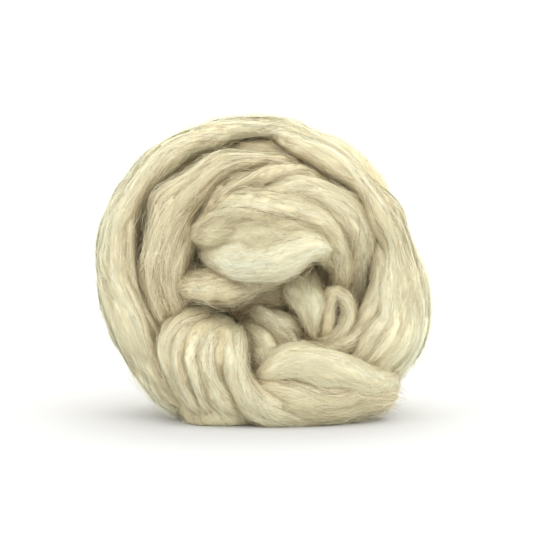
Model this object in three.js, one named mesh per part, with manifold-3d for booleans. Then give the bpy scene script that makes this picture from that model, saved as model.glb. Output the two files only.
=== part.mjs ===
// A loose ball of combed tussah silk roving, standing on its small flat underside.
//
// One continuous, untwisted rope of silk fibre is wound round and round a front-to-back axis, then the last
// metres are folded and tucked into the front. Each stretch of the rope that can be told apart is lofted along
// its own path, and the stretches are joined into one solid, since they are all one length of roving.
//
// Millimetres, +Z up, +X to the right and +Y to the back. The origin is the middle of the underside.
import * as THREE from "three";
import { mergeVertices } from "three/addons/utils/BufferGeometryUtils.js";
import Module from "manifold-3d";

const solids = await Module();
solids.setup();
const { Manifold, Mesh: SolidMesh } = solids;

// Driving dimensions of the ball
const HALF_WIDTH = 88; // side to side
const HALF_DEPTH = 66; // front to back
const HALF_HEIGHT = 80; // top to bottom
const AXIS_HEIGHT = 77; // the winding axis above the surface that the ball stands on

// How finely the stretches are lofted
const STEP = 0.72; // from section to section, as a share of the half width and half thickness together
const CAP_BULGE = 0.6; // of the thickness, how far the tucked ends are rounded
const SIDES_A_FOLD = 8; // points round a section for each of its ridges
const PLAIN_SIDES = 10; // points round a section that has none
const FINENESS = 0.5; // faces closer to flat than this are merged

// The packed middle of the winding, which shows only at the bottom of the hollows
const MIDDLE = { halfWidth: 69, halfDepth: 30, halfHeight: 68, depth: 6, around: 20, along: 12 };

// The winding's outline as seen from the front: the radius from the winding axis at an angle, counted
// anticlockwise from +X. It bulges at the lower right and is pressed in at the upper right.
const OUTLINE = [
  { angle: -180, radius: 87 },
  { angle: -150, radius: 86 },
  { angle: -120, radius: 85 },
  { angle: -90, radius: 84 },
  { angle: -60, radius: 92 },
  { angle: -45, radius: 94 },
  { angle: -30, radius: 93 },
  { angle: -15, radius: 92 },
  { angle: 0, radius: 82 },
  { angle: 15, radius: 77 },
  { angle: 30, radius: 76 },
  { angle: 45, radius: 80 },
  { angle: 60, radius: 78 },
  { angle: 75, radius: 76 },
  { angle: 90, radius: 78 },
  { angle: 120, radius: 81 },
  { angle: 135, radius: 85 },
  { angle: 150, radius: 87 },
  { angle: 180, radius: 87 },
];

// Turns that run all the way round the rim or the back. depth is the turn's place along +Y, lean how far it
// slants, inset how far its middle lies inside the outline.
const ROUND_TURNS = {
  front_turn: { depth: -24, lean: 2, inset: 40, wide: 14, thick: 10 },
  rim_front: { depth: -6, lean: -4, inset: 12.5, wide: 15.5, thick: 9 },
  rim_back: { depth: 21, lean: -6, inset: 13, wide: 19, thick: 9 },
  back_wrap: { depth: 41, lean: 5, inset: 28, wide: 17, thick: 10 },
  back_coil: { depth: 52, lean: -3, inset: 51, wide: 16, thick: 9 },
};
const ROUND_TURN_ROWS = 20;

// Stretches that are placed one by one. A row is one section of the roving: where its middle lies, how far it
// reaches to each side, and how far its face stands from its middle. folds and deep are the ridges along the
// outer face, and pivot, where there is one, is the point that the outer face looks away from.
const COLUMNS = ["x", "y", "z", "wide", "thick"];
const FAN_HEART = { x: -26, y: -26, z: 34.5 }; // the fan's folds open out from here
const STRETCHES = {
  outer_wrap: {
    folds: 2,
    deep: 1.7,
    rows: [
      [-20, -26, 7, 13, 8],
      [-43, -31, 12.5, 14, 8],
      [-55, -33, 22.5, 14, 8],
      [-66.5, -34, 43.5, 14, 9],
      [-73.5, -34, 65.5, 12.5, 9],
      [-76, -33, 83.5, 10, 9],
      [-74, -32, 101.5, 10, 9],
      [-63.5, -32, 121.5, 9.5, 8],
      [-46.5, -30, 138, 8.5, 7],
      [-28, -26, 146.5, 7.5, 6.5],
      [-12, -23, 150, 5.5, 6],
      [1, -23, 150, 5, 6],
      [9, -26, 148.5, 5.5, 6],
      [15, -31, 145.5, 7.5, 6.5],
      [22, -36, 141, 9, 6.5],
      [32, -40, 135.5, 9, 6.5],
      [43, -43, 128, 8, 7],
      [51, -45, 120.5, 7, 7],
      [57, -46, 112.5, 7, 7],
      [62, -45, 103.5, 7, 7.5],
      [67, -42, 92, 9.5, 8.5],
      [69.5, -39, 78, 14, 9],
      [70.5, -37, 65, 17.5, 9],
      [70, -37, 51, 21, 9.5],
      [63, -37, 38, 23, 10],
      [52, -35, 26, 19, 9],
      [38, -29, 16.5, 14, 8],
      [20, -18, 9, 11, 7],
    ],
  },
  second_wrap: {
    folds: 2,
    deep: 1.4,
    pivot: { x: -40, y: 25, z: 90 },
    rows: [
      [-48, -34, 48, 8, 6],
      [-49.5, -39, 56, 10, 7],
      [-50, -42, 67.5, 12, 8.5],
      [-49.5, -44, 82.5, 13, 9.5],
      [-48.3, -45, 98.5, 13.5, 10],
      [-44.8, -45, 109, 13, 10],
      [-38.5, -45.5, 117.5, 11.5, 9.5],
      [-29.5, -46, 125.5, 9.5, 9],
      [-19, -46, 131, 7.5, 8],
      [-8, -45, 133, 5.5, 7],
      [4, -42, 132.5, 4.5, 6],
      [15, -38, 129.5, 4.5, 5.5],
      [27, -31, 124, 4, 5],
    ],
  },
  crown_bed: {
    folds: 1,
    deep: 0,
    rows: [
      [-12, -18, 139, 5, 5],
      [2, -23, 139, 6, 6],
      [14, -26.5, 136.5, 7.5, 7],
      [26, -29, 130.5, 9.5, 9],
      [40, -31, 121, 10.5, 9],
      [53, -30, 104, 10, 9],
      [61, -27, 86, 9, 8.5],
      [64, -25, 68, 8.5, 8],
      [63, -22, 52, 6, 6],
    ],
  },
  first_arc: {
    folds: 1,
    deep: 0,
    rows: [
      [-34.5, -37, 88, 4, 4],
      [-32, -42.5, 95, 5, 6],
      [-28.5, -46.5, 103, 5.5, 7],
      [-23, -49, 110.5, 6, 7.5],
      [-14.5, -50.5, 118, 6.5, 8],
      [-4, -51.5, 123.5, 6.5, 8],
      [7, -50.5, 126.5, 6, 7],
      [19, -47, 125.5, 5.5, 6.5],
      [30, -42, 120.5, 5, 6],
    ],
  },
  dome_band: {
    folds: 1,
    deep: 0,
    rows: [
      [-10, -48, 110.5, 4, 5],
      [2, -54, 117, 7, 7],
      [15, -55, 119, 8, 8],
      [28, -53, 116, 9, 8],
      [38, -50, 110.5, 10, 9],
      [45, -45, 102.5, 10.5, 9],
      [48.5, -39, 93, 10.5, 9],
      [49.5, -33, 82, 10.5, 8.5],
      [49, -29, 70, 10, 8],
      [46, -27, 58, 9, 7],
      [40, -27, 49, 7, 6],
    ],
  },
  swirl_bed: {
    folds: 1,
    deep: 0,
    rows: [
      [-25, -38, 91, 5, 6],
      [-20, -46, 97, 12, 10],
      [-4, -50, 103.5, 20, 11],
      [16, -50, 104.5, 20, 11],
      [33, -44, 95.5, 15, 10],
      [39, -37, 82, 9, 9],
      [40, -31, 70.5, 7, 7],
    ],
  },
  swirl_band: {
    folds: 1,
    deep: 0,
    rows: [
      [-38, -36, 91, 5, 5],
      [-31.5, -47, 98, 7, 7],
      [-24, -52, 104.5, 8.5, 8],
      [-13, -56, 108.5, 10, 8],
      [-1, -59, 110.5, 10.5, 8],
      [11, -60, 110, 10.5, 8],
      [24, -58, 105, 10, 8],
      [33, -53, 97, 8, 8],
      [37, -47, 88.5, 7, 7],
      [38.5, -41, 79, 6, 6.5],
      [39, -36, 69, 6, 6],
      [37, -33, 59, 5, 5],
    ],
  },
  swirl_inner: {
    folds: 1,
    deep: 0,
    rows: [
      [-36, -36, 92, 5, 5],
      [-29, -48, 94.5, 6.5, 7],
      [-23, -54.5, 96.5, 9, 8],
      [-14, -59, 99, 10.5, 8],
      [0, -61.5, 100.5, 10.5, 8],
      [13, -61.5, 100.5, 8.5, 7],
      [24, -58.5, 98, 6, 6],
      [31, -52, 94, 5, 5],
    ],
  },
  lip: {
    folds: 1,
    deep: 0,
    rows: [
      [-28, -47, 85.5, 4.5, 4.5],
      [-22.5, -56, 85.5, 9, 7],
      [-14, -61.5, 85.5, 12, 8],
      [-5, -64.5, 86.5, 13, 8.5],
      [4, -66, 88, 13, 8.5],
      [12, -66.5, 89.5, 11.5, 8],
      [19, -66, 91.5, 9.5, 7.5],
      [25, -63.5, 92, 7.5, 7],
      [29, -57, 90, 6, 6],
      [29, -50, 86, 3.5, 4],
    ],
  },
  pouch: {
    folds: 1,
    deep: 0,
    rows: [
      [-42, -40, 74, 5, 5],
      [-34, -52, 71.5, 8, 7],
      [-26, -57, 70, 8.5, 8],
      [-18, -57, 70, 8, 7],
      [-10, -53, 71, 6.5, 6],
      [-2, -48, 72.5, 5, 5],
      [7, -45, 74, 4.5, 5],
      [15, -42, 77, 4.5, 5],
      [22, -39, 82, 3.5, 4],
    ],
  },
  front_bed: {
    folds: 1,
    deep: 0,
    rows: [
      [-52, -26, 24.5, 15, 10],
      [-28, -32, 15.5, 18, 13],
      [0, -35, 13, 18, 14],
      [26, -35, 14, 18, 14],
      [50, -27, 20.5, 16, 11],
    ],
  },
  fan_bed: {
    folds: 1,
    deep: 0,
    pivot: FAN_HEART,
    rows: [
      [-24, -24, 43, 12, 7],
      [-27, -37, 47.5, 16, 8.5],
      [-30.5, -48.5, 44.5, 19, 9.5],
      [-31, -52, 32.5, 20, 9],
      [-25, -50.5, 17.5, 19.5, 10],
      [-16.5, -45, 5.5, 21, 10],
      [-10, -30, 2.5, 16, 6],
    ],
  },
  fan_fold_1: {
    folds: 1,
    deep: 0,
    pivot: FAN_HEART,
    rows: [
      [-22, -29, 48.5, 3.5, 4],
      [-32, -41, 55, 7, 5.5],
      [-42.5, -45, 51, 8.5, 6.5],
      [-47.5, -47.5, 40.5, 7, 7],
      [-44.5, -49, 27.5, 6.5, 6.5],
      [-38.5, -47.5, 14.5, 6.5, 6],
      [-32, -43, 4.5, 6.5, 5],
      [-26, -34, -1, 6, 4],
    ],
  },
  fan_fold_2: {
    folds: 1,
    deep: 0,
    pivot: FAN_HEART,
    rows: [
      [-20.5, -29, 46.5, 3.5, 4],
      [-29.5, -43, 51.5, 4.5, 4.5],
      [-38, -50, 47, 5, 5.5],
      [-42, -53.5, 37, 4.5, 6.5],
      [-40, -54.5, 25, 4.5, 6.5],
      [-35, -53, 13, 5, 5.5],
      [-28.5, -47, 4, 6, 4],
      [-23, -38, -2, 6, 4],
    ],
  },
  fan_fold_3: {
    folds: 1,
    deep: 0,
    pivot: FAN_HEART,
    rows: [
      [-19, -29, 45, 3.5, 4],
      [-26.5, -44, 49.5, 4.5, 4.5],
      [-33, -53, 45, 4.5, 5.5],
      [-35.5, -57, 35.5, 4, 6.5],
      [-33.5, -57.5, 24, 4, 6.5],
      [-28.5, -55.5, 12.5, 5, 5.5],
      [-22, -48, 3.5, 6, 4],
      [-17, -38, -2, 6, 4],
    ],
  },
  fan_fold_4: {
    folds: 1,
    deep: 0,
    pivot: FAN_HEART,
    rows: [
      [-17, -29, 44.5, 3.5, 4],
      [-21.5, -42, 47.5, 5, 4.5],
      [-25.5, -52, 44.5, 6, 5.5],
      [-27, -57.5, 35.5, 6.3, 7],
      [-25.5, -59, 24, 6, 7],
      [-20.5, -57, 12, 6.5, 6],
      [-13, -49.5, 3.5, 7, 4.5],
      [-8, -39, -2, 6, 4],
    ],
  },
  fan_fold_5: {
    folds: 1,
    deep: 0,
    pivot: FAN_HEART,
    rows: [
      [-12, -29, 43.5, 3.5, 4],
      [-13.5, -42, 46.5, 5, 4.5],
      [-14.5, -52, 43.5, 6.5, 5.5],
      [-14.5, -58, 34.5, 6.8, 7],
      [-12, -59.5, 22.5, 7.5, 7],
      [-5, -59, 13, 8.5, 7],
      [6, -57.5, 8, 9, 6.5],
      [20, -53, 5, 9, 6],
      [32, -46, 4, 7, 5],
    ],
  },
  base_fold: {
    folds: 2,
    deep: 1.6,
    rows: [
      [-14, -44, 26, 5, 5],
      [-6.5, -50, 20.5, 8.5, 7.5],
      [5, -54.5, 16.5, 12, 9],
      [20, -54, 13.5, 14.5, 10],
      [36, -49, 11.5, 14.5, 10],
      [50, -41, 11.5, 14, 9],
      [58, -28, 12, 12, 8],
      [56, -14, 13, 10, 7],
      [48, -2, 15, 7, 5],
    ],
  },
  lower_fold: {
    folds: 2,
    deep: 1.8,
    rows: [
      [-4, -51, 22, 4, 5],
      [4, -56, 26, 8, 8],
      [14, -57.5, 30, 11.5, 9],
      [26, -56, 29, 13.5, 9.5],
      [38, -52, 25, 13.5, 9],
      [50, -45, 19.5, 12.5, 9],
      [59, -33, 16.5, 12, 8],
      [61, -18, 17, 10, 7],
      [55, -3, 20, 7, 5],
    ],
  },
  valley_lock: {
    folds: 1,
    deep: 0,
    rows: [
      [-7, -36, 48.5, 6, 4],
      [-4.5, -43, 43, 8, 5],
      [-0.5, -48.5, 36, 8.5, 5.5],
      [2, -51, 28, 7, 5],
    ],
  },
  inner_strip: {
    folds: 1,
    deep: 0,
    rows: [
      [55, -32, 106, 4, 4],
      [58, -38, 94, 5, 5],
      [59.5, -42, 80, 5.5, 6],
      [58.5, -44, 68, 6, 6],
      [54, -45, 55, 6, 6],
      [47.5, -46, 45.5, 6, 6],
      [39, -47.5, 39.5, 5.5, 6],
      [29, -48, 36.5, 5, 5],
      [18, -46, 35.5, 4, 5],
      [10, -42, 38, 4, 4],
    ],
  },
  tongue: {
    folds: 1,
    deep: 0,
    rows: [
      [19, -34, 79, 8, 5],
      [20, -44, 69.5, 9.3, 6],
      [22, -48, 62.5, 7.8, 6.5],
      [23.8, -48, 55.5, 5.8, 6],
      [24.5, -46, 48.5, 3.5, 5],
      [27, -40, 42, 3, 3],
    ],
  },
  eye_loop: {
    folds: 1,
    deep: 0,
    rows: [
      [30, -41, 43, 3.5, 4],
      [31.5, -45, 48.5, 3.8, 4.5],
      [32, -46.5, 54.5, 3.9, 5],
      [32.5, -46, 61, 4.2, 5],
      [35.5, -45, 67, 4.6, 5],
      [40.5, -44.5, 64.5, 4.4, 5],
      [43, -45, 58.5, 3.7, 4.5],
      [42.5, -46, 52, 3.5, 4.5],
      [39.5, -46.5, 46.5, 3.4, 4.5],
      [34, -47, 42.5, 3.5, 4.5],
      [27, -46, 41, 3.5, 4],
      [21, -43, 42.5, 3, 3],
    ],
  },
  hollow_wall: {
    folds: 1,
    deep: 0,
    rows: [
      [-14, -30, 58, 6, 5],
      [-4, -35, 63, 8.5, 6],
      [7, -37, 66.5, 9, 6],
      [17, -35, 70, 7, 5],
      [25, -31, 75, 5, 4],
    ],
  },
  hollow_hump: {
    folds: 1,
    deep: 0,
    rows: [
      [-5, -29, 55, 4, 4],
      [0, -36, 52, 8, 6],
      [7, -41, 48.5, 10, 7],
      [15, -40, 45.5, 8, 6],
      [21, -35, 43, 5, 5],
    ],
  },
  back_tuck: {
    folds: 2,
    deep: 1.2,
    rows: [
      [-47, 35, 104, 9, 7],
      [-35, 47, 101, 12, 8],
      [-18, 55, 92, 13, 9],
      [-2, 58, 78, 13, 9],
      [8, 54, 62, 10, 8],
      [12, 44, 48, 8, 7],
    ],
  },
};

const SILK = new THREE.MeshStandardMaterial({ color: 0xe0d8b4, roughness: 0.55, metalness: 0 });

/** The outline's radius at an angle in degrees, eased between the rows of its table. */
function outlineRadius(angle) {
  const turned = THREE.MathUtils.euclideanModulo(angle + 180, 360) - 180;
  const next = Math.max(1, OUTLINE.findIndex((row) => row.angle >= turned));
  const [before, after] = [OUTLINE[next - 1], OUTLINE[next]];
  const share = THREE.MathUtils.smoothstep(turned, before.angle, after.angle);
  return THREE.MathUtils.lerp(before.radius, after.radius, share);
}

/** The sections of a turn that runs round the ball, from its sizes in ROUND_TURNS. */
function roundTurnSections({ depth, lean, inset, wide, thick }) {
  return Array.from({ length: ROUND_TURN_ROWS }, (_, row) => {
    const angle = (360 * row) / ROUND_TURN_ROWS;
    const turn = THREE.MathUtils.degToRad(angle);
    const radius = outlineRadius(angle) - inset;
    const x = radius * Math.cos(turn);
    const z = AXIS_HEIGHT + radius * Math.sin(turn);
    return { x, y: depth + lean * Math.cos(turn + 1), z, wide, thick };
  });
}

/** The sections of a placed stretch, its rows read by the names of their columns. */
function placedSections({ rows }) {
  return rows.map((row) => Object.fromEntries(COLUMNS.map((name, place) => [name, row[place]])));
}

/** The direction that a stretch's outer face looks at a point: away from its pivot, or out of the ball. */
function outward({ x, y, z }, pivot) {
  if (pivot) return new THREE.Vector3(x - pivot.x, y - pivot.y, z - pivot.z).normalize();
  const out = new THREE.Vector3(x / HALF_WIDTH ** 2, y / HALF_DEPTH ** 2, (z - AXIS_HEIGHT) / HALF_HEIGHT ** 2);
  return out.normalize();
}

/** The points round a section: each a share of the width and a share of the thickness, ridged on the outer face. */
function sectionCorners({ folds, deep }, thick) {
  const sides = folds > 1 ? SIDES_A_FOLD * folds : PLAIN_SIDES;
  return Array.from({ length: sides }, (_, corner) => {
    const turn = (2 * Math.PI * corner) / sides;
    const across = Math.cos(turn);
    const upward = Math.sin(turn);
    const dip = deep * Math.max(0, upward) * (0.5 + 0.5 * Math.cos(2 * folds * turn));
    return { across, height: thick * upward - dip };
  });
}

/** A closed solid lofted along the sections: a ring if they close on themselves, or a length with rounded ends. */
function loftStretch(sections, shape) {
  const { pivot, closed } = shape;
  const places = sections.map(({ x, y, z }) => new THREE.Vector3(x, y, z));
  const spreads = sections.map(({ wide, thick }) => new THREE.Vector3(wide, thick));
  const path = new THREE.CatmullRomCurve3(places, closed);
  const sizes = new THREE.CatmullRomCurve3(spreads, closed);
  const spread = spreads.reduce((sum, { x, y }) => sum + x + y, 0) / spreads.length;
  const steps = Math.ceil(path.getLength() / (STEP * spread));
  const rings = Array.from({ length: closed ? steps : steps + 1 }, (_, step) => {
    const place = path.getUtoTmapping(step / steps);
    const middle = path.getPoint(place);
    const run = path.getTangent(place);
    const face = outward(middle, pivot).projectOnPlane(run).normalize();
    const side = new THREE.Vector3().crossVectors(run, face);
    const { x: wide, y: thick } = sizes.getPoint(place);
    const corners = sectionCorners(shape, thick).map(({ across, height }) =>
      middle.clone().addScaledVector(side, wide * across).addScaledVector(face, height),
    );
    return { middle, run, thick, corners };
  });
  const points = rings.flatMap(({ corners }) => corners);
  const sides = rings[0].corners.length;
  const faces = wallFaces(rings.length, sides, closed);
  if (!closed) {
    [rings[0], rings.at(-1)].forEach(({ middle, run, thick }, atEnd) => {
      points.push(middle.clone().addScaledVector(run, (atEnd ? 1 : -1) * CAP_BULGE * thick));
      faces.push(...capFaces(points.length - 1, atEnd ? (rings.length - 1) * sides : 0, sides, atEnd));
    });
  }
  return solidFrom(points, faces);
}

/** The triangles between the rings of a loft, and from the last to the first if it is closed. */
function wallFaces(rings, sides, closed) {
  const corner = (ring, place) => (ring % rings) * sides + (place % sides);
  const faces = [];
  for (let ring = 0; ring < (closed ? rings : rings - 1); ring++) {
    for (let place = 0; place < sides; place++) {
      const [a, b] = [corner(ring, place), corner(ring, place + 1)];
      const [c, d] = [corner(ring + 1, place), corner(ring + 1, place + 1)];
      faces.push(a, c, b, b, c, d);
    }
  }
  return faces;
}

/** The triangles from an end's point to its ring. */
function capFaces(point, first, sides, atEnd) {
  const faces = [];
  for (let place = 0; place < sides; place++) {
    const [near, far] = [first + place, first + ((place + 1) % sides)];
    faces.push(point, ...(atEnd ? [far, near] : [near, far]));
  }
  return faces;
}

/** A solid from points and the triangles between them. */
function solidFrom(points, faces) {
  return new Manifold(
    new SolidMesh({
      numProp: 3,
      vertProperties: new Float32Array(points.flatMap((point) => point.toArray())),
      triVerts: new Uint32Array(faces),
    }),
  );
}

/** A solid from one of three.js's closed geometries. */
function solidOf(geometry) {
  geometry.deleteAttribute("normal");
  geometry.deleteAttribute("uv");
  const merged = mergeVertices(geometry);
  return new Manifold(
    new SolidMesh({
      numProp: 3,
      vertProperties: new Float32Array(merged.attributes.position.array),
      triVerts: new Uint32Array(merged.index.array),
    }),
  );
}

/** The packed middle that the stretches lie on. */
function windingMiddle() {
  const { halfWidth, halfDepth, halfHeight, depth, around, along } = MIDDLE;
  const geometry = new THREE.SphereGeometry(1, around, along);
  geometry.scale(halfWidth, halfHeight, halfDepth).rotateX(Math.PI / 2);
  return solidOf(geometry.translate(0, depth, AXIS_HEIGHT));
}

/** All that lies below the surface that the ball stands on. */
function belowSurface() {
  const reach = 4 * HALF_WIDTH;
  return solidOf(new THREE.BoxGeometry(reach, reach, reach).translate(0, 0, -reach / 2));
}

/** The whole ball: every stretch joined to the middle, pressed flat underneath, with no sealed hollow left. */
function windBall() {
  const round = Object.values(ROUND_TURNS).map((turn) =>
    loftStretch(roundTurnSections(turn), { folds: 1, deep: 0, closed: true }),
  );
  const placed = Object.values(STRETCHES).map((stretch) => loftStretch(placedSections(stretch), stretch));
  const wound = [...round, ...placed].reduce((ball, stretch) => ball.add(stretch), windingMiddle());
  const shells = wound.subtract(belowSurface()).simplify(FINENESS).decompose();
  return shells.reduce((largest, shell) => (shell.volume() > largest.volume() ? shell : largest));
}

/** A three.js geometry with a solid's surface. */
function geometryOf(solid) {
  const { vertProperties, triVerts } = solid.getMesh();
  const geometry = new THREE.BufferGeometry();
  geometry.setAttribute("position", new THREE.BufferAttribute(vertProperties, 3));
  geometry.setIndex(new THREE.BufferAttribute(triVerts, 1));
  geometry.computeVertexNormals();
  return geometry;
}

const ball = new THREE.Group();
const roving = new THREE.Mesh(geometryOf(windBall()), SILK);
roving.name = "silk_roving";
ball.add(roving);

export default ball;
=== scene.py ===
"""Looks of a loose ball of combed tussah silk roving.

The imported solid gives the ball's place and size. Around it this script lays the real thing: the stretches
of the rope as soft ridged forms, the silk itself as fine ribbons that follow the rope, and stray fibres
round the outline. Sizes are in millimetres until a mesh is made. +Z is up and +Y runs from the tucked
front to the back.
"""

import logging
import math
from dataclasses import dataclass, field, replace
from enum import Enum

import bpy
import numpy as np
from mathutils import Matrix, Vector


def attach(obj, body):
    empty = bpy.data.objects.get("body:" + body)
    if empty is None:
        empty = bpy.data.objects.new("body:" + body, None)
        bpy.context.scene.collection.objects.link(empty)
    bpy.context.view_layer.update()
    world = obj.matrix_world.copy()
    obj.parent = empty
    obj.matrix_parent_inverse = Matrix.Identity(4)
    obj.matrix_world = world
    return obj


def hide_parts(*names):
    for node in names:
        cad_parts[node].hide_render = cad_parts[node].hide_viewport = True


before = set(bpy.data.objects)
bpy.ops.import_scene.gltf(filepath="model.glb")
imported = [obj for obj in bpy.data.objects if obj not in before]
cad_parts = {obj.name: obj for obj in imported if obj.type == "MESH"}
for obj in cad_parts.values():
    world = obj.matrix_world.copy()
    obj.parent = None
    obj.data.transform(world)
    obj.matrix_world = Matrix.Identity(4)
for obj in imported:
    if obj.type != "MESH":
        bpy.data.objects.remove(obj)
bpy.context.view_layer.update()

LOG = logging.getLogger("silk_roving")
MM = 0.001
SEED = 4177

# The ball's half sizes and the height of its winding axis, in mm
HALF_WIDTH = 88.0
HALF_DEPTH = 66.0
HALF_HEIGHT = 80.0
AXIS_HEIGHT = 77.0

# The heart of the gathered folds at the lower left, which they look away from, in mm
FAN_HEART = (-26.0, -26.0, 34.5)

# The silk's lowest height in mm, its plain tone and the tones it keeps within, from 0, brown, to 1, cream
LOWEST = 0.2
PLAIN_TONE = 0.5
TONES = (0.02, 0.98)

# The winding's outline from the front: an angle from +X, anticlockwise, and the radius there in mm
OUTLINE = (
    (-180, 87), (-150, 86), (-120, 85), (-90, 84), (-60, 92),
    (-45, 94), (-30, 93), (-15, 92), (0, 82), (15, 77),
    (30, 76), (45, 80), (60, 78), (75, 76), (90, 78),
    (120, 81), (135, 85), (150, 87), (180, 87),
)


class Region(Enum):
    """The parts of the ball whose fibres make one piece each."""

    WRAPS = "outer_wrap_fibres"
    CROWN = "crown_fibres"
    SWIRL = "front_swirl_fibres"
    FOLDS = "lower_fold_fibres"
    RIM = "rim_fibres"
    BACK = "back_fibres"


@dataclass(frozen=True)
class FibreLay:
    """How far fibres stray: the spread of their slants in degrees, waves in mm and tones, and frizz."""

    slant: float
    wave: float
    streaks: float
    frizz: float


class Lay(Enum):
    """The ways that the fibres lie, with their slant, wave, streaks and share of stray fibres."""

    SLEEK = FibreLay(4.0, 0.8, 0.08, 0.4)
    COMBED = FibreLay(4.0, 0.8, 0.08, 0.8)
    CREASED = FibreLay(5.0, 1.0, 0.18, 1.2)
    LOOSE = FibreLay(8.0, 1.4, 0.08, 1.3)
    TOUSLED = FibreLay(14.0, 2.0, 0.09, 4.0)


def linear(hex_colour: str) -> tuple[float, float, float, float]:
    """Turn an sRGB hex colour into linear values.

    Args:
        hex_colour: Six hex digits after a hash sign.

    Returns:
        Red, green, blue and a full alpha.
    """
    parts = [int(hex_colour[place : place + 2], 16) / 255 for place in (1, 3, 5)]
    red, green, blue = (
        part / 12.92 if part <= 0.04045 else ((part + 0.055) / 1.055) ** 2.4 for part in parts
    )
    return red, green, blue, 1.0


def add_node(
    tree: bpy.types.NodeTree, kind: str, links: dict | None = None, **settings: object
) -> bpy.types.Node:
    """Add a shader node with its settings and links.

    Args:
        tree: The node tree.
        kind: The node's type name.
        links: For each input socket's name, the output socket that feeds it.
        **settings: Attributes of the node, or values of its input sockets by their names in lower case.

    Returns:
        The new node.
    """
    node = tree.nodes.new(kind)
    sockets = {socket.name.lower().replace(" ", "_"): socket for socket in node.inputs}
    for name, value in settings.items():
        if name in sockets:
            sockets[name].default_value = value
        else:
            setattr(node, name, value)
    for name, source in (links or {}).items():
        tree.links.new(source, node.inputs[name])
    return node


@dataclass(frozen=True)
class SilkFinish:
    """Combed tussah silk: wild silk fibre, carded and drawn parallel, undyed.

    It is pale honey to cream with a soft shine along the fibre; the ramp's warm brown end is for painted
    shade.
    """

    name: str
    dark: str
    middle: str
    light: str
    roughness: float
    ior: float = 1.54
    sheen: float = 0.22
    sheen_roughness: float = 0.4
    shine: float = 0.7
    middle_at: float = 0.45

    def material(self) -> bpy.types.Material:
        """Make the material: each fibre has a tone of its own, kept in the second coordinate of its UV map.

        Returns:
            The material.
        """
        material = bpy.data.materials.new(self.name)
        material.use_nodes = True
        tree = material.node_tree
        tree.nodes.clear()
        place = add_node(tree, "ShaderNodeUVMap", uv_map="OFBake")
        split = add_node(tree, "ShaderNodeSeparateXYZ", {"Vector": place.outputs["UV"]})
        ramp = add_node(tree, "ShaderNodeValToRGB", {"Fac": split.outputs["Y"]})
        ramp.color_ramp.elements[0].color = linear(self.dark)
        ramp.color_ramp.elements[1].color = linear(self.light)
        ramp.color_ramp.elements.new(self.middle_at).color = linear(self.middle)
        shader = add_node(
            tree,
            "ShaderNodeBsdfPrincipled",
            {"Base Color": ramp.outputs["Color"]},
            roughness=self.roughness,
            ior=self.ior,
            specular_ior_level=self.shine,
            sheen_weight=self.sheen,
            sheen_roughness=self.sheen_roughness,
            sheen_tint=linear(self.light),
        )
        add_node(tree, "ShaderNodeOutputMaterial", {"Surface": shader.outputs["BSDF"]})
        return material


class Waves:
    """Smooth seeded variation over a stretch: a sum of sine waves along and round it, of unit strength."""

    def __init__(self, rng: np.random.Generator, terms: int, along: float, around: int) -> None:
        """Draw the waves.

        Args:
            rng: The source of random numbers.
            terms: How many waves are summed.
            along: The most waves over the stretch's length.
            around: The most waves round its section.
        """
        self.along = rng.integers(1, max(2, round(along) + 1), terms)
        self.around = rng.integers(-around, around + 1, terms)
        self.phase = rng.uniform(0, 2 * math.pi, terms)
        self.strength = math.sqrt(2 / terms)

    def __call__(self, share: np.ndarray, turn: np.ndarray | float = 0.0) -> np.ndarray:
        """Sum the waves.

        Args:
            share: Places along the stretch, from 0 to 1.
            turn: Places round its section, from 0 to 1.

        Returns:
            The variation there.
        """
        total = np.zeros(np.broadcast(share, turn).shape)
        for along, around, phase in zip(self.along, self.around, self.phase):
            total += np.sin(2 * math.pi * (along * share + around * turn) + phase)
        return total * self.strength


def spline(rows: np.ndarray, places: np.ndarray, closed: bool) -> np.ndarray:
    """Read a smooth curve through table rows.

    Args:
        rows: The rows, one for each section.
        places: Row numbers to read at, with fractions.
        closed: Whether the last row is followed by the first.

    Returns:
        The values at each place.
    """
    count = len(rows)
    before = np.clip(np.floor(places).astype(int), 0, count - 1 if closed else count - 2)
    share = (places - before)[:, None]
    if closed:
        a, b, c, d = [rows[(before + step) % count] for step in (-1, 0, 1, 2)]
    else:
        ends = np.vstack([2 * rows[0] - rows[1], rows, 2 * rows[-1] - rows[-2]])
        a, b, c, d = [ends[before + step] for step in range(4)]
    return 0.5 * (
        2 * b + (c - a) * share + (2 * a - 5 * b + 4 * c - d) * share**2 + (3 * b - a - 3 * c + d) * share**3
    )


def unit(vectors: np.ndarray) -> np.ndarray:
    """Scale vectors to length 1."""
    return vectors / np.maximum(np.linalg.norm(vectors, axis=-1, keepdims=True), 1e-9)


def mesh_piece(
    name: str,
    points: np.ndarray,
    faces: np.ndarray | list[tuple[int, ...]],
    material: bpy.types.Material,
    places: np.ndarray,
) -> bpy.types.Object:
    """Make a smooth mesh object from points in mm.

    Args:
        name: The piece's name.
        points: Its points, in mm.
        faces: Its faces.
        material: Its material.
        places: A UV place for each corner of each face.

    Returns:
        The object, in the scene.
    """
    mesh = bpy.data.meshes.new(name)
    mesh.from_pydata((points * MM).tolist(), [], faces.tolist() if isinstance(faces, np.ndarray) else faces)
    mesh.uv_layers.new(name="OFBake").data.foreach_set("uv", places.astype(np.float32).ravel())
    mesh.shade_smooth()
    mesh.materials.append(material)
    piece = bpy.data.objects.new(name, mesh)
    bpy.context.scene.collection.objects.link(piece)
    return piece


@dataclass(frozen=True)
class FibreSize:
    """Sizes in mm of the ribbons that stand for small sheaves: a single silk fibre is too fine to show."""

    length: float = 50.0
    width: float = 0.17
    steps: int = 8


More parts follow.
